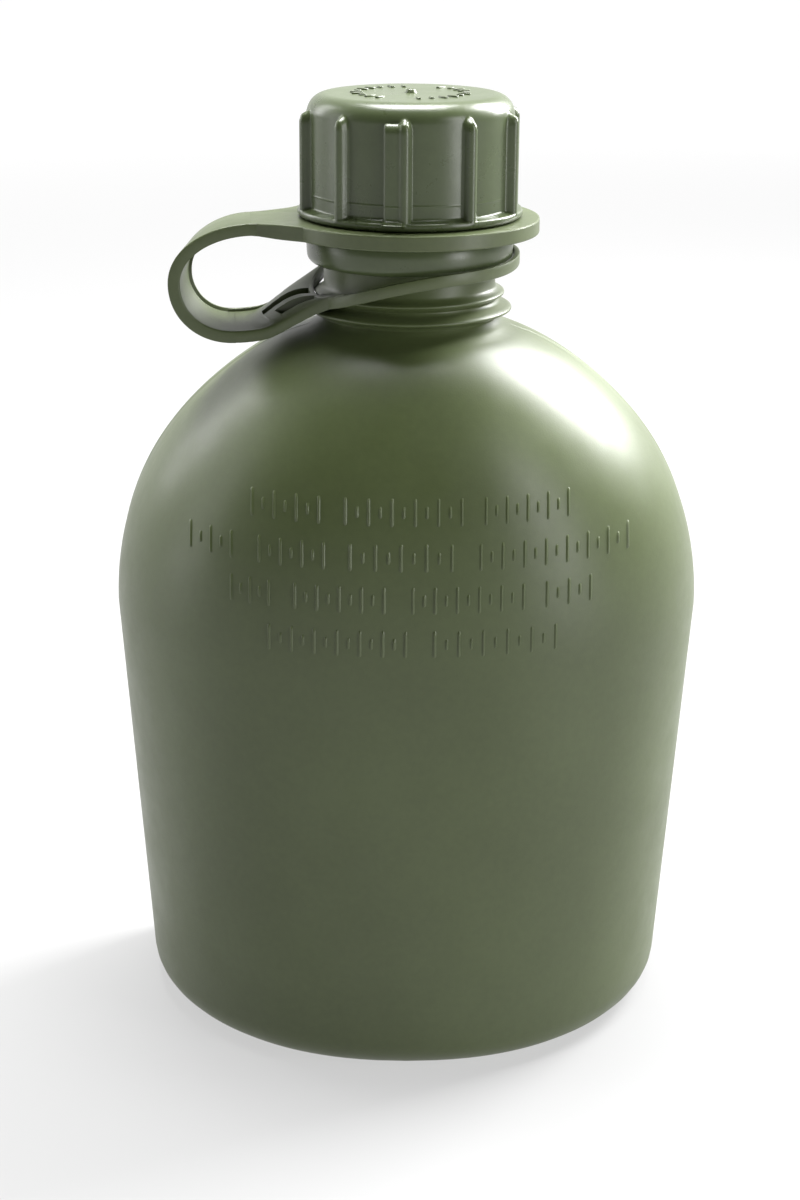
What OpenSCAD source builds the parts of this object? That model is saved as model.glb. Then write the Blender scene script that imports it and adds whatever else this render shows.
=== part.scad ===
// One-quart plastic canteen: a blow-moulded bottle with a kidney-shaped section,
// a ribbed screw cap with its gasket, and a moulded strap that keeps the cap.
// Millimetres. +Z is up, -Y is the bulging front face, +X is to the right seen
// from the front. The origin is on the flat base, under the neck's axis.

/* [Bottle] */
// Widest width of the body
body_width = 133; // [125:1:140]
// Height of the widest section above the base
widest_z = 93.6; // [88:0.2:98]
// Width of the body at the base, before its rounded corner
base_width = 119.6; // [110:0.2:124]
// Depth of the bulging front, from the neck's axis
front_depth = 47; // [42:1:49]
// Depth of the back, from the neck's axis, before it is hollowed
back_depth = 30; // [28:1:32]
// Depth of the hollow along the middle of the back
back_hollow = 7; // [4:0.5:8]
// How far back the two sides reach past the neck's axis
bend_back = 19; // [14:1:22]
// Squareness of the front half of the section, where 2 is an ellipse
front_squareness = 3; // [2.4:0.1:3.4]
// Squareness of the back half of the section
back_squareness = 2.3; // [2:0.1:3]
// Radius of the rounded edge round the base
base_round = 8; // [6:1:12]
// Wall thickness of the body
body_wall = 1.6; // [1.2:0.1:2]

/* [Neck] */
// Height of the mouth's rim above the base
mouth_z = 201.5; // [199.5:0.5:203]
// Outer radius of the neck between its ridges
neck_r = 18.6; // [18.2:0.1:18.8]
// Radius of the bore through the neck
bore_r = 16.8; // [16:0.1:17]
// Radius of the wide bead at the foot of the neck
bead_r = 22.2; // [21.4:0.1:22.4]
// Height of the wide bead's edge
bead_z = 162.5; // [162.2:0.1:162.8]
// Radius of the narrow bead above it
upper_bead_r = 20.6; // [20:0.1:21]
// Height of the narrow bead's edge
upper_bead_z = 165.9; // [165.6:0.1:166.2]

/* [Thread] */
// Rise of the screw thread for each turn
pitch = 4.2; // [3.8:0.1:4.4]
// How far the thread stands out of its wall
thread_depth = 1; // [0.8:0.05:1.1]
// Turns of thread on the neck
neck_turns = 2.5; // [2:0.25:2.75]
// Turns of thread in the cap
cap_turns = 1.75; // [1:0.25:2]

/* [Cap] */
// Height of the cap's flat top above the base
cap_top_z = 208; // [207:0.5:209.5]
// Radius of the cap's wall between its ribs
cap_r = 22.1; // [21.8:0.1:22.4]
// Radius over the ribs and over the flare under them
cap_rib_r = 24.2; // [23.6:0.1:24.6]
// Number of grip ribs
rib_count = 10; // [8:1:12]
// Width of a rib's rounded crest
rib_width = 2.4; // [1.8:0.1:3]
// Turn of the first rib from the front, towards the right
rib_start = -3.5; // [-18:0.5:18]
// Radius of the collar under the strap's ring
collar_r = 22.3; // [22:0.1:22.4]
// Height of the collar's lower edge above the base
collar_z = 172.3; // [171.8:0.1:172.6]

/* [Strap] */
// Width of the flat band
band_width = 16.5; // [13:0.5:18]
// Thickness of the band
band_thick = 2.6; // [2.2:0.1:3]
// Turn of the strap from straight left towards the front
strap_turn = 4; // [-15:1:15]
// Outer radius of the ring under the cap
cap_ring_r = 27.9; // [27.5:0.1:29]
// Thickness of that ring
cap_ring_thick = 3.2; // [2.8:0.1:3.2]
// Underside of that ring above the base
cap_ring_z = 178.9; // [178.8:0.1:179]
// Outer radius of the hoop round the neck
hoop_r = 25.2; // [25.1:0.1:25.6]
// Radial thickness of the hoop
hoop_wall = 1.2; // [1:0.1:1.2]
// Height of the hoop's edge
hoop_height = 2.6; // [2.2:0.1:2.7]
// Slope of the hoop, up towards the front right
hoop_tilt = 13.3; // [10:0.1:14]

/* [Hidden] */

// Clearance between pieces that turn on each other
clearance = 0.3;
// Overlap that joins two shapes of one piece
weld = 0.4;
round_fn = 96;

// --- body ---
half_width = body_width / 2;
half_base = base_width / 2;
// The shoulder starts from the neck at this radius, outside and inside the wall
outer_core = neck_r + 0.6;
inner_core = bore_r + 1;
// Fraction of the half-width that is left where the shoulder meets the neck
neck_fraction = outer_core / half_width;
body_sides = 64;
fillet_steps = 5;
taper_steps = 4;
shoulder_steps = 15;

// --- neck ---
neck_foot_z = 154;
ridge_edge = 0.5;
foot_cone_z = 159.2;
foot_cone_r = neck_r + 2.6;

// --- thread ---
thread_foot = 1.9;
thread_crest = 0.9;
thread_steps = 36;
neck_thread_z = 180.5;
cap_thread_drop = 1.6;
cap_thread_start = 90;
cap_inner_r = neck_r + thread_depth + 0.35;

// --- cap ---
gasket_thick = 2;
gasket_r = cap_inner_r - 0.35;
flare_z = cap_ring_z + cap_ring_thick + 0.2;
flare_height = 2;
groove_z = cap_ring_z - 0.2;
groove_r = 21.4;
top_round = 4.2;
collar_round = 2;
rib_top_z = 204.5;

// --- strap ---
hoop_centre = [-0.5, 0, 167.1];
// Direction in plan in which the hoop rises
hoop_rise = -38;
// Where the band's upper end stops, measured out from the axis
band_start = 35.6;
tab_gap = 0.3;
tab_fillet = 12;
// Where the band's lower end meets the hoop's plate
plate_end = 30;
plate_fillet = 9;
band_steps = 14;

// A quarter-circle pull-in from 0 at the top of a rounded edge to r at its foot
function edge_inset(z, r) = z >= r ? 0 : r - sqrt(r * r - (r - z) * (r - z));

// Signed power, for the section's super-ellipse
function spow(v, e) = sign(v) * pow(abs(v), e);

// One point of the body's section. f is 1 on the body and falls to 0 at the neck,
// half is the half-width, inset pulls the outline in, and angle runs round it.
function section_point(angle, z, f, half, inset, core) =
    let (
        square = sin(angle) < 0 ? front_squareness : back_squareness,
        e = 2 / (2 + (square - 2) * f),
        swell = pow(f, 0.75),
        front = core + (front_depth - inset - core) * swell,
        back = core + (back_depth - inset - core) * swell,
        cx = spow(cos(angle), e),
        depth = sin(angle) < 0 ? front : back,
        hollow = sin(angle) < 0 ? 0 : back_hollow * pow(1 - cx * cx, 2)
    )
    [half * cx, depth * spow(sin(angle), e) + f * (bend_back * cx * cx - hollow), z];

function ring_of(z, f, half, inset, core) =
    [for (i = [0 : body_sides - 1]) section_point(360 * i / body_sides, z, f, half, inset, core)];

// Half-width of the straight-sided part at height z
function side_half(z) = half_base + (half_width - half_base) * min(z, widest_z) / widest_z;

// The rounded base edge, then the straight taper up to the widest section
function lower_rings(inset, core, r) = concat(
    [for (i = [0 : fillet_steps])
        let (z = r * (1 - cos(90 * i / fillet_steps)), pull = edge_inset(z, r))
        ring_of(z + inset, 1, side_half(z + inset) - inset - pull, inset + pull, core)],
    [for (i = [1 : taper_steps])
        let (z = r + inset + (widest_z - r - inset) * i / taper_steps)
        ring_of(z, 1, side_half(z) - inset, inset, core)]);

// The shoulders, a quarter circle from the widest section up to the neck
function shoulder_rings(inset, core) =
    let (last = acos(neck_fraction))
    [for (i = [1 : shoulder_steps])
        let (
            a = last * i / shoulder_steps,
            f = max(0, (cos(a) - neck_fraction) / (1 - neck_fraction)),
            z = widest_z + (half_width - inset) * sin(a)
        )
        ring_of(z, f, core + (half_width - inset - core) * f, inset, core)];

// Faces that close a ring of n points, in strips across from its front to its back,
// so that they fill a hollowed outline
function lid(n) = [for (i = [0 : n / 2 - 1])
    let (across = (n - i) % n, next_across = n - i - 1)
    each concat(next_across == i + 1 ? [] : [[i, i + 1, next_across]],
                across == i ? [] : [[i, next_across, across]])];

// A closed skin over a stack of rings, each with the same number of points
module skin(rings) {
    n = len(rings[0]);
    last = len(rings) - 1;
    points = [for (r = rings) each r];
    sides = [for (k = [0 : last - 1]) for (i = [0 : n - 1])
        let (j = (i + 1) % n)
        each [[k * n + i, (k + 1) * n + i, (k + 1) * n + j],
              [k * n + i, (k + 1) * n + j, k * n + j]]];
    top_lid = [for (f = lid(n)) [for (i = [2 : -1 : 0]) last * n + f[i]]];
    polyhedron(points, concat(lid(n), sides, top_lid), convexity = 6);
}

// A trapezoid thread wound on radius r, standing out by depth (inwards if negative)
module thread(r, depth, z0, start, turns) {
    steps = round(turns * thread_steps);
    root = r - sign(depth) * weld;
    crest = r + depth;
    outline = [[root, -thread_foot / 2], [crest, -thread_crest / 2],
               [crest, thread_crest / 2], [root, thread_foot / 2]];
    rings = [for (i = [0 : steps])
        let (a = start + 360 * turns * i / steps, rise = pitch * a / 360)
        [for (p = outline) [p[0] * cos(a), p[0] * sin(a), z0 + rise + p[1]]]];
    points = [for (r = rings) each r];
    // Reversed for an inward thread, so that the faces still point outwards
    order = depth > 0 ? [3, 2, 1, 0] : [0, 1, 2, 3];
    ends = [[for (i = order) i], [for (i = [3 : -1 : 0]) steps * 4 + order[i]]];
    sides = [for (k = [0 : steps - 1]) for (i = [0 : 3])
        let (p = order[i], q = order[(i + 1) % 4])
        each [[k * 4 + p, (k + 1) * 4 + p, (k + 1) * 4 + q],
              [k * 4 + p, (k + 1) * 4 + q, k * 4 + q]]];
    polyhedron(points, concat(ends, sides), convexity = 6);
}

// The hollow body: the outside, then back down the inside of the wall
module body_shell() {
    outside = concat(lower_rings(0, outer_core, base_round),
                     shoulder_rings(0, outer_core));
    inside = concat(lower_rings(body_wall, inner_core, base_round - body_wall),
                    shoulder_rings(body_wall, inner_core));
    skin(concat(outside, [for (i = [len(inside) - 1 : -1 : 0]) inside[i]]));
}

// The neck with its two beads, a tube with exact round walls
module neck_tube() {
    rotate_extrude($fn = round_fn)
        polygon([
            [bore_r, neck_foot_z], [foot_cone_r, neck_foot_z],
            [neck_r + 0.4, foot_cone_z], [bead_r, bead_z - ridge_edge],
            [bead_r, bead_z + ridge_edge], [neck_r, bead_z + 3 * ridge_edge],
            [neck_r, upper_bead_z - 3 * ridge_edge], [upper_bead_r, upper_bead_z - ridge_edge],
            [upper_bead_r, upper_bead_z + ridge_edge], [neck_r, upper_bead_z + 3 * ridge_edge],
            [neck_r, mouth_z], [bore_r, mouth_z]]);
}

module bottle() {
    color("#5b6547") {
        body_shell();
        neck_tube();
        thread(neck_r, thread_depth, neck_thread_z, 0, neck_turns);
    }
}

// Plan outline of the flare from a round ring of radius r to the band's width, which
// it reaches through two round fillets, and holds as far as x_end from the axis
module flare_plan(r, fillet, x_end) {
    half = band_width / 2;
    centre = [sqrt(pow(r + fillet, 2) - pow(half + fillet, 2)), half + fillet];
    spread = atan2(centre[0], centre[1]);
    arc = [for (i = [0 : fillet_steps])
        let (a = spread * i / fillet_steps)
        [centre[0] - fillet * sin(a), centre[1] - fillet * cos(a)]];
    side = concat([[x_end, half]], arc);
    rotate(180 + strap_turn)
        polygon(concat(side, [for (i = [len(side) - 1 : -1 : 0]) [side[i][0], -side[i][1]]]));
}

// The ring that sits in the cap's groove, with the tab for the band
module strap_cap_ring() {
    color("#66704f")
        translate([0, 0, cap_ring_z])
            difference() {
                union() {
                    cylinder(h = cap_ring_thick, r = cap_ring_r, $fn = round_fn);
                    linear_extrude(cap_ring_thick)
                        flare_plan(cap_ring_r, tab_fillet, band_start - tab_gap);
                }
                translate([0, 0, -1])
                    cylinder(h = cap_ring_thick + 2, r = groove_r + clearance, $fn = round_fn);
            }
}

// A point on a cubic curve through four handles
function bezier(p, t) =
    pow(1 - t, 3) * p[0] + 3 * t * pow(1 - t, 2) * p[1]
    + 3 * t * t * (1 - t) * p[2] + pow(t, 3) * p[3];

// The band's middle line, from the cap ring's tab round the loop to the hoop:
// distance out from the axis, and height
band_top = [[band_start, 180.5], [43, 180.2], [50.6, 175.6], [50.6, 169]];
band_low = [[50.6, 169], [50.6, 162.6], [45.6, 158], [38.6, 158]];
band_back = [[38.6, 158], [35.6, 158], [32.8, 158.6], [plate_end, 159.9]];
band_line = concat(
    [for (i = [0 : band_steps]) bezier(band_top, i / band_steps)],
    [for (i = [1 : band_steps]) bezier(band_low, i / band_steps)],
    [for (i = [1 : band_steps]) bezier(band_back, i / band_steps)]);

// Unit normal of a line at its point i
function line_normal(line, i) =
    let (
        a = line[max(i - 1, 0)],
        b = line[min(i + 1, len(line) - 1)],
        d = (b - a) / norm(b - a)
    )
    [-d[1], d[0]];

function offset_line(line, by) = [for (i = [0 : len(line) - 1]) line[i] + by * line_normal(line, i)];

// Stands a side-view outline up in the strap's plane, with the band's width
module in_strap_plane(width) {
    rotate(strap_turn)
        translate([0, width / 2, 0])
            rotate([90, 0, 0])
                mirror([1, 0, 0])
                    linear_extrude(width) children();
}

module strap_band() {
    outer = offset_line(band_line, band_thick / 2);
    inner = offset_line(band_line, -band_thick / 2);
    color("#5f6a49")
        in_strap_plane(band_width)
            polygon(concat(outer, [for (i = [len(inner) - 1 : -1 : 0]) inner[i]]));
}

// Turns its children from level to the hoop's slope, about the hoop's centre
module tilted() {
    translate(hoop_centre)
        rotate(hoop_rise)
            rotate([0, -hoop_tilt, 0]) children();
}

// The plate that flares from the band's lower end to the hoop
module hoop_plate() {
    last = len(band_line) - 1;
    slope = (band_line[last] - band_line[last - 1]) / norm(band_line[last] - band_line[last - 1]);
    tip = band_line[last] + hoop_r / 2 * slope;
    side = [-slope[1], slope[0]] * band_thick / 2;
    intersection() {
        in_strap_plane(2 * hoop_r)
            polygon([band_line[last] + side, tip + side, tip - side, band_line[last] - side]);
        linear_extrude(mouth_z)
            flare_plan(hoop_r, plate_fillet, plate_end + band_thick);
    }
}

module strap_neck_ring() {
    color("#5f6a49")
        difference() {
            union() {
                hoop_plate();
                tilted()
                    translate([0, 0, -hoop_height / 2])
                        cylinder(h = hoop_height, r = hoop_r, $fn = round_fn);
            }
            tilted()
                translate([0, 0, -hoop_r / 2])
                    cylinder(h = hoop_r, r = hoop_r - hoop_wall, $fn = round_fn);
        }
}

// One grip rib: a rounded crest with a rounded top, rooted in the cap's wall
module grip_rib() {
    crest_r = rib_width / 2;
    height = rib_top_z - crest_r - flare_z - flare_height;
    translate([cap_rib_r - crest_r, 0, flare_z + flare_height]) {
        cylinder(h = height, r = crest_r, $fn = 32);
        translate([0, 0, height]) sphere(r = crest_r, $fn = 32);
        translate([-crest_r - weld, -crest_r, 0])
            cube([crest_r + weld, rib_width, height]);
    }
}

// The cap's wall, top, flare, groove and collar, without its ribs and thread
module cap_shell() {
    top_in = mouth_z + gasket_thick;
    corner = [for (a = [0 : 15 : 90])
        [cap_r - top_round + top_round * cos(a), cap_top_z - top_round + top_round * sin(a)]];
    lip = [for (a = [0 : 30 : 90])
        [collar_r - collar_round + collar_round * sin(a), collar_z + collar_round * (1 - cos(a))]];
    rotate_extrude($fn = round_fn)
        polygon(concat(
            [[0, top_in], [cap_inner_r, top_in], [cap_inner_r, collar_z]],
            lip,
            [[collar_r, groove_z], [groove_r, groove_z], [groove_r, flare_z],
             [cap_rib_r, flare_z], [cap_r, flare_z + flare_height]],
            corner,
            [[0, cap_top_z]]));
}

module cap() {
    color("#656f4e") {
        cap_shell();
        for (i = [0 : rib_count - 1])
            rotate(-90 + rib_start + 360 * i / rib_count) grip_rib();
        thread(cap_inner_r, -thread_depth, neck_thread_z - cap_thread_drop,
               cap_thread_start, cap_turns);
    }
}

module cap_gasket() {
    color("#2b2b29")
        translate([0, 0, mouth_z])
            cylinder(h = gasket_thick, r = gasket_r, $fn = round_fn);
}

bottle();
cap();
cap_gasket();
strap_cap_ring();
strap_band();
strap_neck_ring();
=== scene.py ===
from math import acos, atan2, cos, exp, pi, radians, sin, sqrt

import bmesh
import bpy
from mathutils import Matrix, Vector


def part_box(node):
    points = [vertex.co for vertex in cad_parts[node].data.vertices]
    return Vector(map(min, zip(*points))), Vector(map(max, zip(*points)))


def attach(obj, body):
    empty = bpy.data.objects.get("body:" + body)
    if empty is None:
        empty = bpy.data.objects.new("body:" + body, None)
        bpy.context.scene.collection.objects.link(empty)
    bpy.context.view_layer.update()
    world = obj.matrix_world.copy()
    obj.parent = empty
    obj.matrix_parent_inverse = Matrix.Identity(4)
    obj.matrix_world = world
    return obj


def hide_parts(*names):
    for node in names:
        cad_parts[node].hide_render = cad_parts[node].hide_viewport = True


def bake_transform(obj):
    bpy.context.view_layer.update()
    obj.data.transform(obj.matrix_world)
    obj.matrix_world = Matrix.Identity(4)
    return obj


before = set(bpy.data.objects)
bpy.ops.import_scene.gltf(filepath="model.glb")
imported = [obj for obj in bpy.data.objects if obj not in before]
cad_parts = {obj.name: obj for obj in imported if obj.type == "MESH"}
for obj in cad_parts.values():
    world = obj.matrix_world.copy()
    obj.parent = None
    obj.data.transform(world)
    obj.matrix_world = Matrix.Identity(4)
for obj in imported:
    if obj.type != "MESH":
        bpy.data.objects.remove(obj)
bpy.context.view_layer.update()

# A one-quart canteen of olive polyethylene: a blow-moulded kidney-section bottle,
# a ribbed screw cap and the moulded strap that keeps the cap on the neck.
# Lengths are in millimetres inside the shape functions, and MM turns them to metres.
MM = 0.001


# ---------------------------------------------------------------- sizes

def node_span(node):
    """Lowest and highest corner of a CAD node, in millimetres."""
    low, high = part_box(node)
    return [c / MM for c in low], [c / MM for c in high]


bottle_low, bottle_high = node_span("bottle")
cap_low, cap_high = node_span("cap")
gasket_high = node_span("cap_gasket")[1]
ring_low, ring_high = node_span("strap_cap_ring")

# Body: the widest section, its taper to the base, and the kidney outline
HALF_WIDTH = bottle_high[0]
WIDEST_Z = 93.6
HALF_BASE = 59.8
FRONT_DEPTH = -bottle_low[1]
BACK_DEPTH = 30.0
BACK_HOLLOW = 7.0
BEND_BACK = 19.0
FRONT_SQUARENESS = 3.0
BACK_SQUARENESS = 2.3
BASE_ROUND = 8.0
BODY_WALL = 1.6
SHOULDER_SWELL, SWELL_TURN = 2.1, 0.3
PARTING_RIDGE, PARTING_STEP, PARTING_HALF = 0.12, 0.0045, 0.006

# Neck and its two beads
MOUTH_Z = bottle_high[2]
NECK_R = 18.6
BORE_R = 16.8
NECK_CORE = 22.3
BORE_CORE = BORE_R + 1.0
BEAD_R, BEAD_Z = 22.2, 162.5
UPPER_BEAD_R, UPPER_BEAD_Z = 20.6, 165.9
THREAD_Z, THREAD_PITCH, THREAD_DEPTH = 180.5, 4.2, 1.0
NECK_TURNS, CAP_TURNS = 2.5, 1.75

# Cap
CAP_TOP_Z = cap_high[2]
CAP_LOW_Z = cap_low[2]
CAP_R = 22.1
RIB_R = 24.2
RIB_COUNT = 10
RIB_START = radians(-94)
RIB_HALF = 1.35
RIB_TOP_Z = 204.5
TOP_ROUND = 4.2
COLLAR_R = 22.3
GROOVE_R = 21.4
CAP_BORE_R = 19.95
GASKET_TOP_Z = gasket_high[2]
WITNESS_Z = 187.3
LAND_WIDE, LAND_HIGH, LAND_SUNK = 4.4, 1.85, 0.3
CAP_THREAD_DROP = 1.6
MARK_COUNT, MARK_R = 26, 11.6

# Strap
RING_LOW_Z, RING_TOP_Z = ring_low[2], ring_high[2]
RING_R = 27.9
RING_BORE_R = GROOVE_R + 0.3
FLARE_Z = RING_TOP_Z + 0.2
STRAP_TURN = radians(184)
BAND_HALF = 8.25
BAND_THICK = 2.6
BAND_START = 35.6
NEAR_CORNER = radians(32)
NEAR_RUN_END = 33.5
FAR_FILLET = 12.0
PLATE_START = 38.6
HOOP_OVAL = (22.9, 24.3)
HOOP_SHIFT = 0.9
PLATE_HOOP_R = 24.0
PLATE_HOOP_SHIFT = 2.0
HOOP_WALL = 1.2
HOOP_HEIGHT = 2.6
HOOP_MEAN_Z = 170.4
# How the bent hoop's height varies round it: (waves, cosine part, sine part) of a curve
# fitted by least squares to heights measured and judged round the ring
HOOP_BEND = ((1, 3.65, 0.7), (2, -0.9, -0.75), (3, 0.3, 0.57))
FAR_LEAN = 2.6
RIM_HIGH = 0.6
RIM_WIDE = 1.0
STRAP_EDGE = 0.35
# The plate and the tab lie this much inside the band where they overlap it
PLATE_INSET, OVERLAP_INSET = 0.02, 0.008


# ---------------------------------------------------------------- mesh helpers

def finish_mesh(bm, name, sharp=40.0, merge=1e-4):
    """Closes a shell's seams and poles, points its faces outwards and makes the object."""
    bmesh.ops.remove_doubles(bm, verts=bm.verts, dist=merge)
    bmesh.ops.dissolve_degenerate(bm, dist=merge / 2, edges=bm.edges)
    bmesh.ops.recalc_face_normals(bm, faces=bm.faces)
    bmesh.ops.scale(bm, vec=(MM, MM, MM), verts=bm.verts)
    mesh = bpy.data.meshes.new(name)
    bm.to_mesh(mesh)
    bm.free()
    mesh.shade_smooth()
    mesh.set_sharp_from_angle(angle=radians(sharp))
    piece = bpy.data.objects.new(name, mesh)
    bpy.context.collection.objects.link(piece)
    return piece


def wrap(bm, around, rows, place):
    """Adds a sheet of around x rows cells and gives each corner the place of its column and row."""
    made = bmesh.ops.create_grid(bm, x_segments=around, y_segments=rows, size=0.5)
    for v in made["verts"]:
        column = round((v.co.x + 0.5) * around)
        row = round((v.co.y + 0.5) * rows)
        v.co = place(column, row)


def arc(centre, radius, start, end, steps):
    """Points (radius, height) on a round corner, from one angle to the other in degrees."""
    turns = [radians(start + (end - start) * i / steps) for i in range(steps + 1)]
    return [(centre[0] + radius * cos(a), centre[1] + radius * sin(a)) for a in turns]


def smooth_max(a, b, k):
    """The larger of two values, with a fillet of about k between them."""
    h = max(k - abs(a - b), 0.0) / k
    return max(a, b) + h * h * k / 4


def ramp(value, low, high):
    """A smooth 0 to 1 as value goes from low to high."""
    t = min(max((value - low) / (high - low), 0.0), 1.0)
    return t * t * (3 - 2 * t)


# ---------------------------------------------------------------- bottle

def signed_power(v, e):
    return (abs(v) ** e) * (1 if v >= 0 else -1)


def section_point(angle, z, f, half, inset, core):
    """A point of the kidney section. f is 1 on the body and 0 at the neck."""
    in_front = sin(angle) < 0
    square = FRONT_SQUARENESS if in_front else BACK_SQUARENESS
    e = 2 / (2 + (square - 2) * f)
    swell = f ** 0.75
    depth = (FRONT_DEPTH if in_front else BACK_DEPTH) - inset
    depth = core + (depth - core) * swell
    cx = signed_power(cos(angle), e)
    hollow = 0 if in_front else BACK_HOLLOW * (1 - cx * cx) ** 2
    y = depth * signed_power(sin(angle), e) + f * (BEND_BACK * cx * cx - hollow)
    return Vector((half * cx, y, z))


def side_half(z):
    return HALF_BASE + (HALF_WIDTH - HALF_BASE) * min(z, WIDEST_Z) / WIDEST_Z


def body_rows(inset, core, base_round):
    """(height, f, half-width, inset) of the body's rings, from the base up to the neck."""
    rows = []
    for i in range(9):
        a = radians(90 * i / 8)
        z, pull = base_round * (1 - cos(a)), base_round * (1 - sin(a))
        rows.append((z + inset, 1.0, side_half(z + inset) - inset - pull, inset + pull))
    foot = base_round + inset
    for i in range(1, 19):
        z = foot + (WIDEST_Z - foot) * i / 18
        rows.append((z, 1.0, side_half(z) - inset, inset))
    last_turn = acos(core / HALF_WIDTH)
    least = core / HALF_WIDTH
    for i in range(1, 41):
        a = last_turn * i / 40
        f = max(0.0, (cos(a) - least) / (1 - least))
        # A slight swell of the shoulders where they run in to the neck
        lift = SHOULDER_SWELL * exp(-((a - last_turn) / SWELL_TURN) ** 2)
        z = WIDEST_Z + (HALF_WIDTH - inset) * sin(a) + lift
        rows.append((z, f, core + (HALF_WIDTH - inset - core) * f, inset))
    return rows


def neck_profile():
    """The neck's outside and bore, (radius, height), from the shoulders' end up and back down."""
    outside = [(21.6, 158.8), (20.6, 159.3), (19.7, 159.9), (19.2, 160.6), (19.4, 161.2),
               (20.3, 161.6), (21.5, 161.9)]
    outside += arc((BEAD_R - 0.4, BEAD_Z), 0.4, -70, 60, 5)
    outside += [(21.2, 163.25), (19.8, 163.7), (19.0, 164.1), (18.9, 164.5), (19.2, 164.9)]
    outside += arc((UPPER_BEAD_R - 0.35, UPPER_BEAD_Z), 0.35, -70, 60, 5)
    outside += [(19.9, 166.5), (19.0, 166.95), (NECK_R, 167.6), (NECK_R, 171), (NECK_R, 186)]
    lip = arc((NECK_R - 0.5, MOUTH_Z - 0.5), 0.5, 0, 90, 4)
    lip += arc((BORE_R + 0.5, MOUTH_Z - 0.5), 0.5, 90, 180, 4)
    return outside + lip + [(BORE_R, 180), (BORE_R, 158.5), (BORE_R + 0.4, 157.6)]


def bottle_angles():
    """Turns round the section, with a close group at each side for the parting line."""
    angles = [2 * pi * i / 160 for i in range(160)]
    for side in (0, pi):
        angles += [side + sign * PARTING_STEP * step for sign in (-1, 1) for step in (1, 2)]
    return sorted(a % (2 * pi) for a in angles) + [2 * pi]


def make_bottle():
    bm = bmesh.new()
    angles = bottle_angles()
    outer = body_rows(0.0, NECK_CORE, BASE_ROUND)
    inner = body_rows(BODY_WALL, BORE_CORE, BASE_ROUND - BODY_WALL)
    neck = neck_profile()
    rings = []

    def base_ring(row, scale, z):
        def at(a):
            p = section_point(a, z, row[1], row[2], row[3], NECK_CORE)
            return Vector((p.x * scale, (p.y + 8) * scale - 8, z))
        return at

    # The underside: a shallow push-up with a rounded step round it
    for scale, z in ((0, 1.6), (0.3, 1.6), (0.6, 1.5), (0.8, 1.3), (0.86, 1.1), (0.9, 0.6),
                     (0.925, 0.15), (0.945, 0.0)):
        rings.append(base_ring(outer[0], scale, z))

    def body_ring(row, core, ridge):
        def at(a):
            p = section_point(a, row[0], row[1], row[2], row[3], core)
            # The thin raised line where the two halves of the mould met
            near = min(abs(a), abs(a - pi), abs(a - 2 * pi))
            if near < PARTING_HALF and row[0] > 3:
                p.x += ridge * (1 if p.x > 0 else -1)
            return p
        return at

    rings += [body_ring(row, NECK_CORE, PARTING_RIDGE) for row in outer]
    rings += [lambda a, r=r, z=z: Vector((r * cos(a), r * sin(a), z)) for r, z in neck]
    rings += [body_ring(row, BORE_CORE, 0.0) for row in reversed(inner)]
    for scale in (0.6, 0):
        rings.append(lambda a, s=scale: base_ring(inner[0], s, inner[0][0] + 1.4)(a))
    wrap(bm, len(angles) - 1, len(rings) - 1, lambda c, r: rings[r](angles[c]))
    add_thread(bm, NECK_R, THREAD_DEPTH, THREAD_Z, 0.0, NECK_TURNS)
    return finish_mesh(bm, "bottle_shell", sharp=50, merge=0.002)


def add_thread(bm, r, depth, z0, start, turns):
    """A rounded trapezoid swept round by a spin that rises with the pitch."""
    root = r - 0.4 if depth > 0 else r + 0.4
    outline = [(root, -0.95), (r + depth * 0.8, -0.6), (r + depth, -0.35),
               (r + depth, 0.35), (r + depth * 0.8, 0.6), (root, 0.95)]
    turn = Matrix.Rotation(start, 3, "Z")
    corners = [bm.verts.new(turn @ Vector((x, 0, z0 + z))) for x, z in outline]
    face = bm.faces.new(corners)
    steps = int(72 * turns)
    rise = THREAD_PITCH * turns / steps
    bmesh.ops.spin(bm, geom=[face] + face.edges[:] + corners, cent=(0, 0, 0), axis=(0, 0, 1),
                   dvec=(0, 0, rise), angle=2 * pi * turns, steps=steps, use_merge=False)


# Rows of the raised pattern on the front: height, then (start, end) of each group
# across, in millimetres. Upright bars of two heights stand in for the lettering.
RELIEF_ROWS = (
    (127.9, (-33, -19), (-13.5, 10.5), (15.5, 33)),
    (118.7, (-46.5, -37.5), (-31.5, -18), (-12.5, 8.5), (14.5, 46.5)),
    (109.9, (-37.5, -29.5), (-24, -5.5), (0.5, 23.5), (28.5, 38)),
    (100.6, (-29.5, -1), (5, 30.5)),
)
RELIEF_TALL = 5.9
RELIEF_STROKE = 0.95
RELIEF_STEP = 4.9
RELIEF_SHORT = 0.45
RELIEF_HIGH = 0.36
RELIEF_SUNK = 0.1


def front_y(x, z):
    """Depth of the front face at x across and z up, worked out from how much of the body that height
    is.
    """
    if z <= WIDEST_Z:
        f, half = 1.0, side_half(z)
    else:
        c = sqrt(max(0.0, 1 - ((z - WIDEST_Z) / HALF_WIDTH) ** 2))
        least = NECK_CORE / HALF_WIDTH
        f = max(0.0, (c - least) / (1 - least))
        half = NECK_CORE + (HALF_WIDTH - NECK_CORE) * f
    n = 2 + (FRONT_SQUARENESS - 2) * f
    depth = NECK_CORE + (FRONT_DEPTH - NECK_CORE) * f ** 0.75
    u = min(abs(x) / half, 1.0)
    return f * BEND_BACK * u * u - depth * (1 - u ** n) ** (1 / n)


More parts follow.
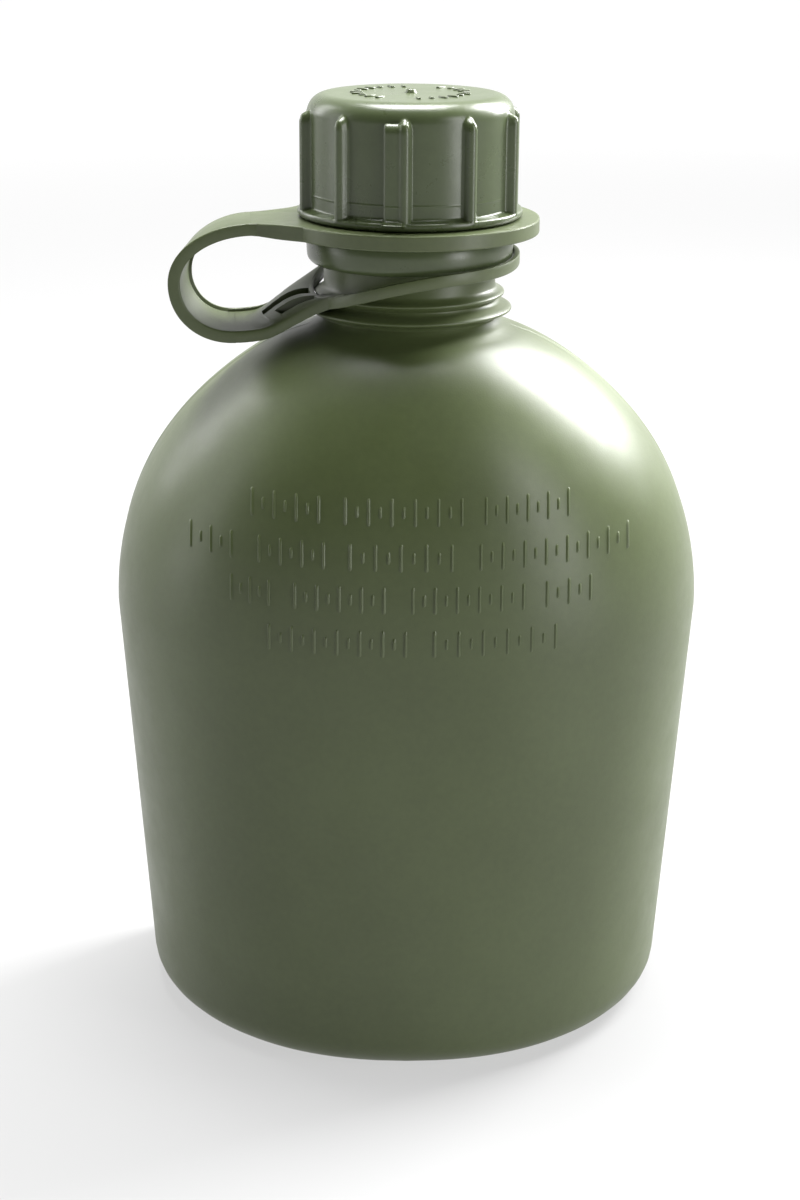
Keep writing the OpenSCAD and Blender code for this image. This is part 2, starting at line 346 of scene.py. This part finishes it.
def relief_bar(bm, x, z, wide, tall):
    """One raised bar with soft edges, laid on the front's curve."""
    made = bmesh.ops.create_grid(bm, x_segments=8, y_segments=max(4, int(tall * 2)), size=0.5)
    for v in made["verts"]:
        across, up = v.co.x * 2, v.co.y * 2
        px, pz = x + across * wide / 2, z + up * tall / 2
        edge = min((1 - abs(across)) * wide / 2, (1 - abs(up)) * tall / 2)
        height = RELIEF_HIGH * ramp(edge, 0.0, 0.45) - RELIEF_SUNK
        slope = (front_y(px + 0.1, pz) - front_y(px - 0.1, pz)) / 0.2
        out = Vector((slope, -1, 0)).normalized()
        v.co = Vector((px, front_y(px, pz), pz)) + out * height


def make_relief():
    bm = bmesh.new()
    for z, *groups in RELIEF_ROWS:
        for start, end in groups:
            count = 2 * max(1, round((end - start) / RELIEF_STEP))
            for i in range(count + 1):
                tall = RELIEF_TALL * (RELIEF_SHORT if i % 2 else 1)
                relief_bar(bm, start + (end - start) * i / count, z, RELIEF_STROKE, tall)
    return finish_mesh(bm, "front_relief", sharp=80, merge=1e-5)


# ---------------------------------------------------------------- cap

def rib_r(across, z):
    """Radius of a rib's surface, this far across from its middle."""
    top, foot = RIB_TOP_Z - RIB_HALF / 0.7, FLARE_Z + 1.7
    past = max((z - top) * 0.7, foot - z, 0.0)
    away = sqrt(across * across + past * past)
    root = RIB_R - RIB_HALF
    if away <= RIB_HALF:
        return root + sqrt(RIB_HALF ** 2 - away ** 2)
    return root - (away - RIB_HALF) * 2.6


def land_height(across, z):
    """How far the flat land beside the front rib stands out of the wall."""
    inside = min(across + LAND_WIDE, -across, RIB_TOP_Z - 0.6 - z, z - FLARE_Z - 1.2)
    return LAND_HIGH * ramp(inside, -0.25, 0.25) - LAND_SUNK


def cap_profile():
    """The cap's section: (radius, height, whether ribs stand on it) from its top's middle
    down the outside, into the strap's groove, round the collar and up the inside."""
    rows = [(0, CAP_TOP_Z, 0), (6, CAP_TOP_Z, 0), (12, CAP_TOP_Z, 0), (16, CAP_TOP_Z, 0)]
    corner = arc((CAP_R - TOP_ROUND, CAP_TOP_Z - TOP_ROUND), TOP_ROUND, 90, 0, 20)
    rows += [(r, z, 1) for r, z in corner]
    fold = FLARE_Z + 2.3
    rows += [(CAP_R, z, 1) for z in (202.8, 202, 201, 199, 196, 193, 190, 188.2)]
    rows += [(CAP_R, WITNESS_Z + 0.5, 1), (CAP_R, WITNESS_Z + 0.35, 1), (CAP_R, WITNESS_Z + 0.25, 1)]
    rows += [(CAP_R + 0.07, WITNESS_Z + 0.1, 1), (CAP_R + 0.07, WITNESS_Z - 0.1, 1)]
    rows += [(CAP_R, WITNESS_Z - 0.25, 1), (CAP_R, WITNESS_Z - 0.35, 1), (CAP_R, WITNESS_Z - 0.5, 1)]
    rows += [(CAP_R, 186, 1), (CAP_R, fold + 0.5, 1)]
    rows += [(CAP_R, fold + 0.2, 1), (CAP_R + 0.05, fold, 1), (CAP_R + 0.4, fold - 0.25, 1)]
    rows += [(CAP_R + 0.85, fold - 0.45, 1), (CAP_R + 1.3, fold - 0.58, 1)]
    roll = arc((RIB_R - 1.0, FLARE_Z + 1.0), 1.0, 40, -50, 7)
    rows += [(r, z, 1) for r, z in roll] + [(RIB_R - 0.7, FLARE_Z, 0)]
    rows += [(GROOVE_R, FLARE_Z, 0), (GROOVE_R, RING_LOW_Z - 0.2, 0)]
    rows += [(COLLAR_R - 0.3, RING_LOW_Z - 0.2, 0), (COLLAR_R, RING_LOW_Z - 0.5, 0)]
    rows += [(COLLAR_R, 176, 0), (COLLAR_R - 0.05, 174.6, 0)]
    rows += [(r, z, 0) for r, z in arc((COLLAR_R - 2.0, CAP_LOW_Z + 1.9), 1.9, 0, -90, 8)]
    rows += [(CAP_BORE_R, CAP_LOW_Z, 0), (CAP_BORE_R, 190, 0), (CAP_BORE_R, GASKET_TOP_Z, 0)]
    return rows + [(8, GASKET_TOP_Z, 0), (0, GASKET_TOP_Z, 0)]


def make_cap():
    bm = bmesh.new()
    rows = cap_profile()
    around = 540
    pitch = 2 * pi / RIB_COUNT

    def place(column, row):
        a = 2 * pi * column / around
        r, z, ribbed = rows[row]
        wall = r
        if ribbed and z < RIB_TOP_Z + 0.6:
            off = (a - RIB_START + pitch / 2) % pitch - pitch / 2
            r = smooth_max(wall, rib_r(off * RIB_R, z), 0.45)
            # The flat land on the left of the front rib
            if abs(a - RIB_START % (2 * pi)) < pitch / 2:
                r = smooth_max(r, wall + land_height(off * RIB_R, z), 0.3)
        return Vector((r * cos(a), r * sin(a), z))

    wrap(bm, around, len(rows) - 1, place)
    add_thread(bm, CAP_BORE_R, -THREAD_DEPTH, THREAD_Z - CAP_THREAD_DROP, pi / 2, CAP_TURNS)
    return finish_mesh(bm, "cap_shell", sharp=62, merge=0.002)


def make_cap_marks():
    """The moulded marks on the cap's top: a broken ring of short ticks and the gate's nub."""
    bm = bmesh.new()
    for i in range(MARK_COUNT):
        if i % 13 in (5, 6):
            continue
        a = 2 * pi * i / MARK_COUNT
        tall = 2.6 if i % 3 else 1.5
        made = bmesh.ops.create_cube(bm, size=1.0)
        edges = list({e for v in made["verts"] for e in v.link_edges})
        bmesh.ops.scale(bm, vec=(tall, 0.9, 0.7), verts=made["verts"])
        made = bmesh.ops.bevel(bm, geom=edges, offset=0.2, offset_type="OFFSET", segments=2,
                               affect="EDGES", profile=0.5, material=-1)
        turn = Matrix.Rotation(a, 4, "Z") @ Matrix.Translation((MARK_R, 0, CAP_TOP_Z))
        bmesh.ops.transform(bm, matrix=turn, verts=made["verts"])
    nub = [(0, 0.9), (0.7, 0.85), (1.0, 0.6), (1.15, 0.2), (1.5, -0.1), (1.5, -0.3)]
    wrap(bm, 24, len(nub) - 1, lambda c, r: Vector((
        nub[r][0] * cos(2 * pi * c / 24), nub[r][0] * sin(2 * pi * c / 24), CAP_TOP_Z + nub[r][1])))
    return finish_mesh(bm, "cap_top_marks", sharp=50)


# ---------------------------------------------------------------- strap

def strap_place(out, lateral, z):
    """A point of the strap: out from the neck's axis, lateral towards the back, and up."""
    ux, uy = cos(STRAP_TURN), sin(STRAP_TURN)
    return Vector((out * ux + lateral * uy, out * uy - lateral * ux, z))


def bezier(p, t):
    s = 1 - t
    k = (s ** 3, 3 * t * s * s, 3 * t * t * s, t ** 3)
    return Vector((sum(k[i] * p[i][0] for i in range(4)), sum(k[i] * p[i][1] for i in range(4))))


BAND_LINE_START = BAND_START - 1.4
BAND_TOP = ((BAND_LINE_START, 180.5), (43, 180.3), (50.9, 175.8), (50.9, 169))
BAND_LOW = ((50.9, 169), (50.9, 162.4), (45.6, 157.5), (PLATE_START, 157.5))
PLATE_LINE = ((PLATE_START, 157.5), (34.6, 157.5), (30.5, 158.8), (22.0, 163.6))


def line_points(curves, steps):
    points = [bezier(curves[0], 0)]
    for curve in curves:
        points += [bezier(curve, i / steps) for i in range(1, steps + 1)]
    return points


def rounded_bar(half, thick, corner, rim):
    """The band's cross-section as (lateral, height) pairs: flat outside, and an inner
    face that is a little hollow between two low rims."""
    h = thick / 2
    points = []
    for cx, cy, start in ((half - corner, h - corner, 0), (-half + corner, h - corner, 90),
                          (-half + corner, -h + corner, 180), (half - corner, -h + corner, 270)):
        if start == 270:
            for i in range(1, 40):
                x = -half + corner + (2 * half - 2 * corner) * i / 40
                inside = ramp(half - abs(x), RIM_WIDE - 0.15, RIM_WIDE + 0.15)
                points.append((x, -h + rim * inside))
        for i in range(5):
            a = radians(start + 90 * i / 4)
            points.append((cx + corner * cos(a), cy + corner * sin(a)))
    return points


def make_band():
    bm = bmesh.new()
    line = line_points((BAND_TOP, BAND_LOW), 40)
    line.append(line[-1] + (line[-1] - line[-2]).normalized() * 0.7)
    outline = rounded_bar(BAND_HALF, BAND_THICK, STRAP_EDGE, RIM_HIGH)
    outline.append(outline[0])
    last = len(line) - 1

    def place(column, row):
        station = min(max(row - 1, 0), last)
        scale = 0.0 if row in (0, last + 2) else 1.0
        ahead = line[min(station + 1, last)]
        behind = line[max(station - 1, 0)]
        along = (ahead - behind).normalized()
        out = Vector((-along.y, along.x))
        lateral, height = outline[column]
        # The loop leans: its far edge sits further in than its near edge
        lean = FAR_LEAN * ramp(station / last, 0.0, 0.5) * (lateral / BAND_HALF + 1) / 2
        lean *= 1 - 0.25 * ramp(station / last, 0.6, 1.0)
        at = line[station] + out * (height * scale - lean)
        return strap_place(at.x, lateral * scale, at.y)

    wrap(bm, len(outline) - 1, last + 2, place)
    return finish_mesh(bm, "strap_loop_band", sharp=35)


def tab_outline(turn, fillet):
    """Radius of the cap ring's outline at this turn from the strap's direction: a round
    fillet on the far side, and a straight run from a crisp corner on the near side."""
    a = abs(turn)
    if a <= atan2(BAND_HALF, BAND_START):
        return BAND_START / cos(a)
    if turn > 0:
        centre = Vector((sqrt((RING_R + fillet) ** 2 - (BAND_HALF + fillet) ** 2), BAND_HALF + fillet))
        if a >= atan2(centre.y, centre.x):
            return RING_R
        if a <= atan2(BAND_HALF, centre.x):
            return BAND_HALF / sin(a)
        reach = centre.x * cos(a) + centre.y * sin(a)
        return reach - sqrt(reach ** 2 - centre.length_squared + fillet ** 2)
    if a >= NEAR_CORNER:
        return RING_R
    if a <= atan2(BAND_HALF, NEAR_RUN_END):
        return BAND_HALF / sin(a)
    x1, y1 = RING_R * cos(NEAR_CORNER), RING_R * sin(NEAR_CORNER)
    x2, y2 = NEAR_RUN_END, BAND_HALF
    return (x1 * y2 - y1 * x2) / (cos(a) * (y2 - y1) - sin(a) * (x2 - x1))


def make_cap_ring():
    bm = bmesh.new()
    corner = atan2(BAND_HALF, BAND_START)
    turns = [-pi + 2 * pi * i / 300 for i in range(301)]
    turns += [sign * (corner + d) for sign in (-1, 1) for d in (-0.004, 0, 0.004)]
    turns = sorted(turns + [d - NEAR_CORNER for d in (-0.003, 0, 0.003)])
    low, top = RING_LOW_Z, RING_TOP_Z
    # (0 on the bore or 1 on the outline, inset, height): a bar section with eased edges
    e = 0.3
    section = [(0, e, low), (1, e, low), (1, e * 0.3, low + e * 0.3), (1, 0, low + e),
               (1, 0, top - e), (1, e * 0.3, top - e * 0.3), (1, e, top), (0, e, top),
               (0, 0, top - e), (0, 0, low + e), (0, e, low)]

    def place(column, row):
        turn = turns[column]
        outside, inset, z = section[row]
        r = tab_outline(turn, FAR_FILLET) - inset if outside else RING_BORE_R + inset
        # The tab thins to the band's thickness towards its end
        thin = ramp(r * cos(turn), RING_R - 0.5, BAND_START - 1) if r > RING_R - 0.5 else 0
        middle = (low + top) / 2
        out, lateral = r * cos(turn), r * sin(turn)
        # and its last stretch lies just inside the band
        hidden = ramp(out, BAND_LINE_START - 0.1, BAND_LINE_START + 0.05)
        z = middle + (z - middle) * (1 - thin * 0.19 - hidden * 0.04)
        return strap_place(out, lateral * (1 - hidden * OVERLAP_INSET), z)

    wrap(bm, len(turns) - 1, len(section) - 1, place)
    return finish_mesh(bm, "strap_cap_ring_moulding", sharp=17)


def hoop_z(bearing):
    """Height of the bent hoop's middle: low where the plate pulls it, high at the front right."""
    return HOOP_MEAN_Z + sum(a * cos(k * bearing) + b * sin(k * bearing) for k, a, b in HOOP_BEND)


# Each slot's middle across the plate and half width in millimetres, then where it starts
# and ends as a share of the plate's length
SLOTS = ((-5.0, 1.15, 0.50, 0.97), (-1.3, 1.15, 0.40, 0.97))
SLOT_DEPTH = 2.3
NEAR_FLARE, FAR_FLARE = 25.0, 20.0


def make_neck_ring():
    bm = bmesh.new()
    # The hoop, a flat-sided ring with eased edges
    e, h = 0.3, HOOP_HEIGHT / 2
    inner, outer = -HOOP_WALL, 0.0
    section = [(inner + e, -h), (outer - e, -h), (outer - e * 0.3, -h + e * 0.3), (outer, -h + e),
               (outer, h - e), (outer - e * 0.3, h - e * 0.3), (outer - e, h), (inner + e, h),
               (inner + e * 0.3, h - e * 0.3), (inner, h - e), (inner, -h + e),
               (inner + e * 0.3, -h + e * 0.3), (inner + e, -h)]
    around = 240

    def hoop(column, row):
        a = 2 * pi * column / around
        r, z = section[row]
        long_x, long_y = HOOP_OVAL
        return Vector((HOOP_SHIFT + (long_x + r) * cos(a), (long_y + r) * sin(a), hoop_z(a) + z))

    wrap(bm, around, len(section) - 1, hoop)
    add_plate(bm)
    return finish_mesh(bm, "strap_neck_hoop", sharp=32)


def plate_side(t, fillet):
    """(out, lateral) of the plate's edge: straight, then flaring round to the hoop."""
    r = PLATE_HOOP_R
    lateral = BAND_HALF + fillet
    centre = Vector((sqrt((r + fillet) ** 2 - lateral ** 2), lateral))
    spread = atan2(centre.x, centre.y)
    first = PLATE_START + 0.6 + PLATE_HOOP_SHIFT
    straight = first - centre.x
    d = t * (straight + fillet * spread)
    if d <= straight:
        return first - d - PLATE_HOOP_SHIFT, BAND_HALF
    a = (d - straight) / fillet
    return centre.x - fillet * sin(a) - PLATE_HOOP_SHIFT, centre.y - fillet * cos(a)


def add_plate(bm):
    """The plate that flares from the band's lower end to the hoop, with its two slots."""
    line = line_points((PLATE_LINE,), 60)
    e, h = STRAP_EDGE, BAND_THICK / 2 - PLATE_INSET
    first, last = PLATE_START + 0.6, PLATE_HOOP_R - PLATE_HOOP_SHIFT - 0.6

    def level(out):
        return min(line, key=lambda p: abs(p.x - out)).y

    def middle(t, v):
        side_out, wide = plate_side(t, NEAR_FLARE if v < 0 else FAR_FLARE)
        centre_out = first + (last - first) * t
        out = centre_out + (side_out - 0.5 * t - centre_out) * v * v
        wide *= 1 - OVERLAP_INSET * (1 - ramp(t, 0.06, 0.09))
        p = strap_place(out, v * wide, 0)
        join = ramp(t, 0.25, 1.0)
        z = level(centre_out) * (1 - join) + hoop_z(atan2(p.y, p.x)) * join
        # The far side leans in, as the loop does
        lean = FAR_LEAN * 0.75 * (v + 1) / 2 * (1 - join)
        return Vector((p.x, p.y, z + lean))

    def cut_depth(t, v):
        """How far the upper face lies under the rims, and deeper in the two slots."""
        across = v * BAND_HALF
        hollow = RIM_HIGH * ramp(BAND_HALF - abs(across), RIM_WIDE - 0.15, RIM_WIDE + 0.1)
        hollow *= 1 - ramp(t, 0.22, 0.42)
        inside = any(abs(across - c) <= w and a <= t <= b for c, w, a, b in SLOTS)
        return hollow + (SLOT_DEPTH if inside else 0.0)

    def edge(v):
        """How far the rounded edge falls below the flat, this far across."""
        return e * (1 - sqrt(max(0.0, 1 - max(0.0, (abs(v) * BAND_HALF - BAND_HALF + e) / e) ** 2)))

    walls = [c + s * (w + d) for c, w, _, _ in SLOTS for s in (-1, 1) for d in (0.0, 0.03)]
    spots = sorted([i / 22 - 1 for i in range(45)] + [x / BAND_HALF for x in walls]
                   + [s * (1 - d / BAND_HALF) for s in (-1, 1) for d in (0.1, 0.2, 0.9, 1.1)])
    ends = {start for _, _, start, _ in SLOTS} | {SLOTS[0][3] + 0.001}
    steps = sorted({i / 48 for i in range(49)} | ends | {end - 0.001 for end in ends})
    around = len(spots)

    def place(column, row):
        t = steps[min(max(row - 1, 0), len(steps) - 1)]
        over = column < around or column == 2 * around
        v = spots[column % (2 * around) if over else 2 * around - 1 - column]
        if row in (0, len(steps) + 1):
            return middle(t, 0.0)
        thick = h - edge(v)
        # The upper face faces into the loop
        lift = thick - cut_depth(t, v) if over else -thick
        return middle(t, v) + Vector((0, 0, lift))

    wrap(bm, 2 * around, len(steps) + 1, place)


# ---------------------------------------------------------------- materials

def tint(code):
    """An sRGB hex colour as linear red, green, blue and alpha."""
    values = [int(code[i:i + 2], 16) / 255 for i in (1, 3, 5)]
    return [v / 12.92 if v <= 0.04045 else ((v + 0.055) / 1.055) ** 2.4 for v in values] + [1.0]


def new_node(tree, kind, settings=None, **inputs):
    """Adds a node with its settings, and sets or links each named input."""
    node = tree.nodes.new(kind)
    for key, value in (settings or {}).items():
        setattr(node, key, value)
    for key, value in inputs.items():
        socket = node.inputs[int(key[1:])] if key[1:].isdigit() else node.inputs[key.replace("_", " ")]
        if isinstance(value, bpy.types.NodeSocket):
            tree.links.new(value, socket)
        else:
            socket.default_value = value
    return node


def colour_steps(node, steps):
    ramp_points = node.color_ramp.elements
    while len(ramp_points) < len(steps):
        ramp_points.new(0.5)
    for point, (place, colour) in zip(ramp_points, steps):
        point.position = place
        point.color = colour


def moulded_polyethylene(name, dark, light, rough, grain_mm, grain_depth, flow_mm, flow_depth):
    """Olive high-density polyethylene as it comes out of its mould. The eye sees a satin
    skin with a fine even grain, a slow waviness that bends the highlights, faint cloudy
    changes of green, and a scatter of small rub marks that are a little shinier."""
    material = bpy.data.materials.new(name)
    material.use_nodes = True
    tree = material.node_tree
    tree.nodes.clear()
    where = new_node(tree, "ShaderNodeTexCoord").outputs["Object"]
    cloud = new_node(tree, "ShaderNodeTexNoise", Vector=where, Scale=1 / (34 * MM),
                     Detail=4.0, Roughness=0.55)
    speck = new_node(tree, "ShaderNodeTexNoise", Vector=where, Scale=1 / (1.6 * MM),
                     Detail=2.0, Roughness=0.6)
    mixed = new_node(tree, "ShaderNodeMix", {"data_type": "FLOAT"}, _0=0.3,
                     _2=cloud.outputs["Fac"], _3=speck.outputs["Fac"])
    green = new_node(tree, "ShaderNodeValToRGB", Fac=mixed.outputs[0])
    colour_steps(green, ((0.36, tint(dark)), (0.64, tint(light))))
    rubs = new_node(tree, "ShaderNodeTexNoise", Vector=where, Scale=1 / (9 * MM),
                    Detail=6.0, Roughness=0.7)
    shine = new_node(tree, "ShaderNodeMapRange", Value=rubs.outputs["Fac"], From_Min=0.35,
                     From_Max=0.7, To_Min=rough + 0.04, To_Max=rough - 0.04)
    grain = new_node(tree, "ShaderNodeTexNoise", Vector=where, Scale=1 / (grain_mm * MM),
                     Detail=3.0, Roughness=0.6)
    flow = new_node(tree, "ShaderNodeTexNoise", Vector=where, Scale=1 / (flow_mm * MM),
                    Detail=1.5, Roughness=0.4)
    slow = new_node(tree, "ShaderNodeBump", Strength=0.5, Distance=flow_depth * MM,
                    Height=flow.outputs["Fac"])
    fine = new_node(tree, "ShaderNodeBump", Strength=0.5, Distance=grain_depth * MM,
                    Height=grain.outputs["Fac"], Normal=slow.outputs["Normal"])
    skin = new_node(tree, "ShaderNodeBsdfPrincipled", Base_Color=green.outputs["Color"],
                    Roughness=shine.outputs["Result"], IOR=1.53, Normal=fine.outputs["Normal"])
    new_node(tree, "ShaderNodeOutputMaterial", Surface=skin.outputs["BSDF"])
    return material


def gasket_rubber():
    """Black nitrile rubber, cut from sheet. It looks dull, almost without a highlight."""
    material = bpy.data.materials.new("nitrile_rubber_sheet")
    material.use_nodes = True
    tree = material.node_tree
    tree.nodes.clear()
    where = new_node(tree, "ShaderNodeTexCoord").outputs["Object"]
    dust = new_node(tree, "ShaderNodeTexNoise", Vector=where, Scale=1 / (0.8 * MM), Detail=3.0)
    black = new_node(tree, "ShaderNodeValToRGB", Fac=dust.outputs["Fac"])
    colour_steps(black, ((0.4, tint("#20201f")), (0.7, tint("#2c2c2a"))))
    fine = new_node(tree, "ShaderNodeBump", Strength=0.4, Distance=0.03 * MM,
                    Height=dust.outputs["Fac"])
    skin = new_node(tree, "ShaderNodeBsdfPrincipled", Base_Color=black.outputs["Color"],
                    Roughness=0.8, IOR=1.52, Normal=fine.outputs["Normal"])
    new_node(tree, "ShaderNodeOutputMaterial", Surface=skin.outputs["BSDF"])
    return material


def white_floor():
    """Seamless white studio card: matte, and lit so that it reads as white further back."""
    material = bpy.data.materials.new("studio_card")
    material.use_nodes = True
    tree = material.node_tree
    tree.nodes.clear()
    where = new_node(tree, "ShaderNodeTexCoord").outputs["Object"]
    away = new_node(tree, "ShaderNodeVectorMath", {"operation": "LENGTH"}, _0=where)
    glow = new_node(tree, "ShaderNodeMapRange", Value=away.outputs["Value"], From_Min=0.3,
                    From_Max=1.6, To_Min=0.56, To_Max=0.92)
    skin = new_node(tree, "ShaderNodeBsdfPrincipled", Base_Color=tint("#646464"), Roughness=0.9,
                    Emission_Color=(1, 1, 1, 1), Emission_Strength=glow.outputs["Result"])
    new_node(tree, "ShaderNodeOutputMaterial", Surface=skin.outputs["BSDF"])
    return material


def paint(piece, material):
    piece.data.materials.clear()
    piece.data.materials.append(material)


# ---------------------------------------------------------------- camera and studio

def make_camera():
    """Stands in front and above, looking down on the canteen."""
    away, high, aside = 499.8, 262.1, -1.6
    pitch, roll, yaw = 0.3231, 0.0066, 0.0131
    turn = Matrix.Rotation(-yaw, 3, "Z")
    right = turn @ Vector((1, 0, 0))
    ahead = turn @ Vector((0, cos(pitch), -sin(pitch)))
    up = turn @ Vector((0, sin(pitch), cos(pitch)))
    x_axis = right * cos(roll) + up * sin(roll)
    y_axis = up * cos(roll) - right * sin(roll)
    pose = Matrix((x_axis, y_axis, -ahead)).transposed().to_4x4()
    pose.translation = turn @ Vector((aside, -away, high)) * MM
    data = bpy.data.cameras.new("front_camera")
    data.sensor_width = 36.0
    data.lens = 69.63
    data.clip_start = 0.01
    data.clip_end = 50.0
    camera = bpy.data.objects.new("front_camera", data)
    camera.matrix_world = pose
    bpy.context.collection.objects.link(camera)
    bpy.context.scene.camera = camera


def soft_box(name, place, aim, wide, tall, power):
    data = bpy.data.lights.new(name, "AREA")
    data.shape = "RECTANGLE"
    data.size, data.size_y = wide, tall
    data.energy = power
    lamp = bpy.data.objects.new(name, data)
    lamp.location = place
    lamp.rotation_euler = (Vector(aim) - Vector(place)).to_track_quat("-Z", "Y").to_euler()
    bpy.context.collection.objects.link(lamp)


def make_studio():
    bm = bmesh.new()
    bmesh.ops.create_grid(bm, x_segments=1, y_segments=1, size=6.0)
    mesh = bpy.data.meshes.new("floor")
    bm.to_mesh(mesh)
    bm.free()
    floor = bpy.data.objects.new("floor", mesh)
    bpy.context.collection.objects.link(floor)
    paint(floor, white_floor())
    middle = (0, 0, 0.11)
    soft_box("right_back_box", (0.55, 0.40, 0.58), middle, 0.35, 0.5, 22)
    soft_box("left_back_box", (-0.60, 0.38, 0.45), middle, 0.22, 0.5, 2.0)
    soft_box("top_box", (0.0, 0.18, 0.95), middle, 0.5, 0.4, 17)
    soft_box("right_box", (0.72, -0.5, 0.32), middle, 0.3, 0.7, 4.2)
    soft_box("left_box", (-0.9, 0.0, 0.30), middle, 0.3, 0.7, 1.6)
    bpy.context.scene.view_settings.view_transform = "Standard"
    world = bpy.data.worlds.new("studio")
    bpy.context.scene.world = world
    world.use_nodes = True
    tree = world.node_tree
    tree.nodes.clear()
    # A room that is dim in front of the canteen and bright behind it
    path = new_node(tree, "ShaderNodeLightPath")
    way = new_node(tree, "ShaderNodeTexCoord").outputs["Generated"]
    parts = new_node(tree, "ShaderNodeSeparateXYZ", Vector=way)
    room = new_node(tree, "ShaderNodeMapRange", Value=parts.outputs["Y"], From_Min=-0.2,
                    From_Max=0.9, To_Min=0.04, To_Max=1.0)
    dim = new_node(tree, "ShaderNodeBackground", Color=(1, 1, 1, 1),
                   Strength=room.outputs["Result"])
    bright = new_node(tree, "ShaderNodeBackground", Color=(1, 1, 1, 1), Strength=1.0)
    both = new_node(tree, "ShaderNodeMixShader", _0=path.outputs["Is Camera Ray"],
                    _1=dim.outputs[0], _2=bright.outputs[0])
    new_node(tree, "ShaderNodeOutputWorld", Surface=both.outputs[0])


# ---------------------------------------------------------------- assembly

def main():
    make_camera()
    make_studio()
    bottle_skin = moulded_polyethylene("blow_moulded_polyethylene", "#47512f", "#4e5935",
                                       0.40, 0.35, 0.03, 30, 0.5)
    cap_skin = moulded_polyethylene("injection_moulded_polyethylene", "#444e32", "#4c5739",
                                    0.29, 0.3, 0.02, 16, 0.25)
    strap_skin = moulded_polyethylene("flexible_polyethylene_strap", "#475131", "#505a38",
                                      0.4, 0.3, 0.02, 14, 0.2)
    pieces = (
        (make_bottle(), bottle_skin, "bottle_plastic", "bottle_body", "bottle"),
        (make_relief(), bottle_skin, "bottle_plastic", "bottle_body", None),
        (make_cap(), cap_skin, "cap_plastic", "cap", "cap"),
        (make_cap_marks(), cap_skin, "cap_plastic", "cap", None),
        (make_cap_ring(), strap_skin, "strap_plastic", "cap_ring", "strap_cap_ring"),
        (make_neck_ring(), strap_skin, "strap_plastic", "strap", "strap_neck_ring"),
    )
    for piece, material, slot_name, body, node in pieces:
        paint(piece, material)
        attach(piece, body)
        if node:
            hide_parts(node)
    band = make_band()
    paint(band, strap_skin)
    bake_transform(band)
    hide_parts("strap_band")
    paint(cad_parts["cap_gasket"], gasket_rubber())


main()
